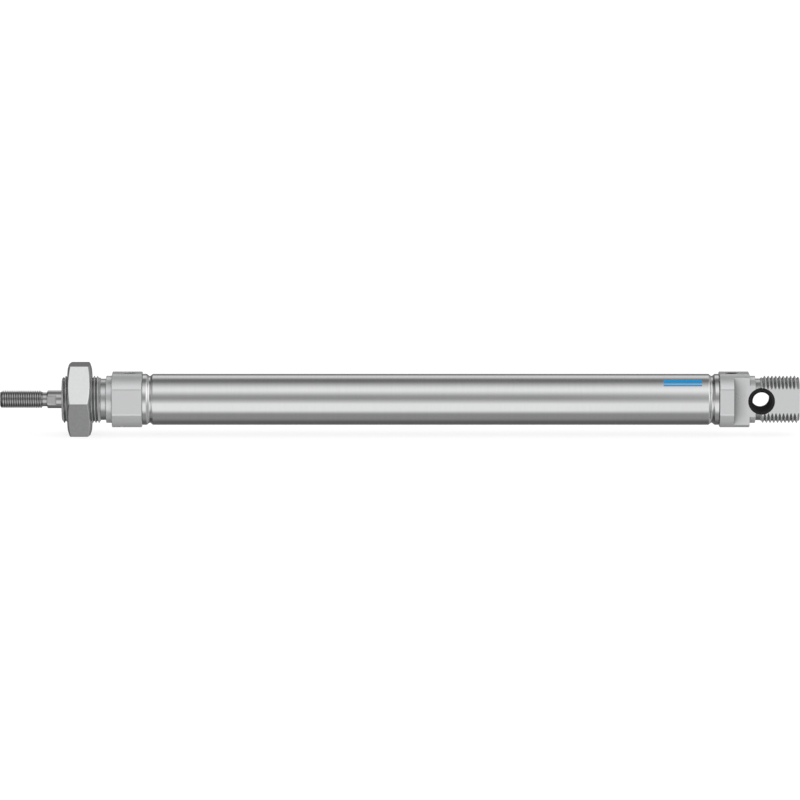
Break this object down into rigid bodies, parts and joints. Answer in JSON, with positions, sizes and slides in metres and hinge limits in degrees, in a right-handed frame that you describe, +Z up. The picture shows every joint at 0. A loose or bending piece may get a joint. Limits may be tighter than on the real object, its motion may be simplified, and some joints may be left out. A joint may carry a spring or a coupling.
{
  "type": "pneumatic cylinder",
  "caption": "Slim round pneumatic cylinder with a threaded rod, threaded nose and mounting nut, steel barrel rolled onto aluminium caps, top air ports and a flattened rear eye.",
  "frame": {"origin": "centre of the whole object's box: on the rod axis, halfway along the retracted length", "axes": "+X along the rod axis from the rod end to the rear eye, +Z up through both air ports, +Y along the eye's pin bore"},
  "size_m": [0.271, 0.0278, 0.024],
  "materials": {
    "anodised_aluminium": "fine blasted and clear anodised, satin",
    "stainless_tube": "finely ground round the tube, satin bright",
    "rod_steel": "ground and polished, threads as rolled",
    "plated_nut_steel": "bright zinc plated, light machining marks",
    "piston_aluminium": "as turned",
    "sintered_bronze": "matt, oil filled",
    "black_plastic": "satin moulded",
    "nitrile_rubber": "matt",
    "polyurethane": "satin",
    "magnet_compound": "matt, plastic bonded ferrite"
  },
  "bodies": {
    "housing": {"front_cap": "anodised_aluminium", "rear_cap": "anodised_aluminium", "barrel": "stainless_tube", "front_barrel_seal": "nitrile_rubber", "rear_barrel_seal": "nitrile_rubber", "rod_bearing_bush": "sintered_bronze", "rod_seal": "polyurethane", "rod_wiper": "nitrile_rubber", "front_bumper": "polyurethane", "rear_bumper": "polyurethane", "eye_bush": "black_plastic"},
    "clamp_nut": {"mounting_nut": "plated_nut_steel"},
    "seal_set": {"guide_ring": "black_plastic", "front_piston_seal": "polyurethane", "rear_piston_seal": "polyurethane"},
    "rod_set": {"piston_rod": "rod_steel", "piston_front_disc": "piston_aluminium", "piston_rear_disc": "piston_aluminium", "magnet_ring": "magnet_compound", "piston_o_ring": "nitrile_rubber", "piston_lock_nut": "plated_nut_steel"}
  },
  "joints": [
    {"name": "piston_stroke", "type": "slide", "parent": "housing", "child": "seal_set", "axis": [-1, 0, 0], "range_m": [0, 0.16]},
    {"name": "rod_turn", "type": "hinge", "parent": "seal_set", "child": "rod_set", "pos_m": [0, 0, 0], "axis": [-1, 0, 0], "continuous": true},
    {"name": "nut_travel", "type": "slide", "parent": "housing", "child": "clamp_nut", "axis": [1, 0, 0], "range_m": [-0.002, 0.0049]}
  ]
}
